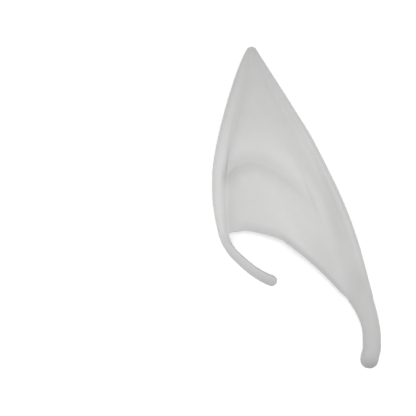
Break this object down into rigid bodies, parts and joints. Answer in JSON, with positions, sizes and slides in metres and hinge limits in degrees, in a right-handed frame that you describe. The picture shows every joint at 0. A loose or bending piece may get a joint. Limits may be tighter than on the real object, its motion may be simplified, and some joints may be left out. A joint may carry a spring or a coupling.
{
  "type": "elf ear tip",
  "caption": "Slip-on pointed ear tip of thin white latex, hollow for the wearer's ear, with rolled rims, an arched fold, a small curled hook and a long tail.",
  "frame": {"origin": "middle of the bounding box, on the surface that the flat back rests on", "axes": "+Z out through the modelled front, +Y along the ear to its point, +X from the front edge to the tail"},
  "size_m": [0.0629, 0.12, 0.015],
  "materials": {
    "latex": "matte"
  },
  "bodies": {
    "root": {"ear_tip": "latex"}
  },
  "joints": []
}
